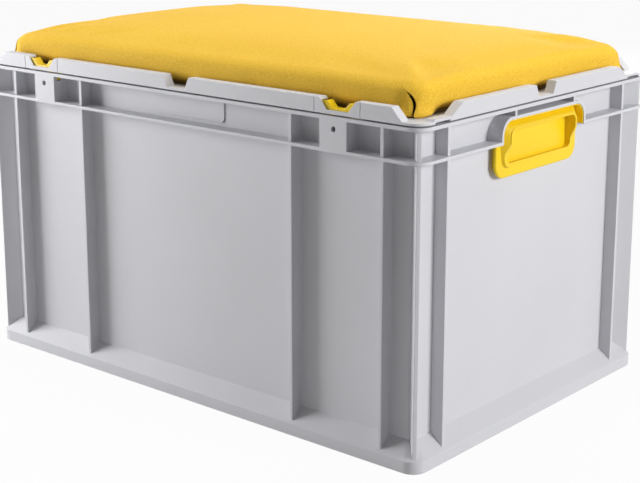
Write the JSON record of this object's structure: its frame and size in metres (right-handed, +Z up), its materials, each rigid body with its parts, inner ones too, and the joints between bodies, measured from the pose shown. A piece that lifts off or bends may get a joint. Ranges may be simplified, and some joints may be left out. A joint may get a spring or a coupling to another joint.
{
  "type": "storage box with seat lid",
  "caption": "Stackable plastic storage box with a hinged lid that carries an upholstered seat cushion, slide latches on the front and closed grip shells on the ends.",
  "frame": {"origin": "middle of the base, on the surface the box stands on", "axes": "+X along the long sides, -Y towards the latch side, +Z up"},
  "size_m": [0.6, 0.4, 0.369],
  "materials": {
    "grey_plastic": "satin moulded",
    "yellow_plastic": "semi-gloss moulded",
    "yellow_fabric": "fine woven upholstery",
    "foam": "open-cell foam",
    "plywood": "raw plywood",
    "steel": "zinc plated"
  },
  "bodies": {
    "container": {"container_body": "grey_plastic", "hinge_bracket_left": "grey_plastic", "hinge_bracket_right": "grey_plastic", "hinge_pin_left": "steel", "hinge_pin_right": "steel", "hinge_screws": "steel", "grip_shell_left": "yellow_plastic", "grip_shell_right": "yellow_plastic"},
    "lid": {"lid_shell": "grey_plastic", "seat_board": "plywood", "seat_foam": "foam", "seat_cover": "yellow_fabric", "cover_staples": "steel", "seat_screws": "steel"},
    "latch_left": {"latch_left": "yellow_plastic"},
    "latch_right": {"latch_right": "yellow_plastic"}
  },
  "joints": [
    {"name": "lid_hinge", "type": "hinge", "parent": "container", "child": "lid", "pos_m": [0, 0.196, 0.3242], "axis": [-1, 0, 0], "range_deg": [0, 95]},
    {"name": "latch_left_slide", "type": "slide", "parent": "lid", "child": "latch_left", "axis": [1, 0, 0], "range_m": [0, 0.0055]},
    {"name": "latch_right_slide", "type": "slide", "parent": "lid", "child": "latch_right", "axis": [-1, 0, 0], "range_m": [0, 0.0055]}
  ]
}
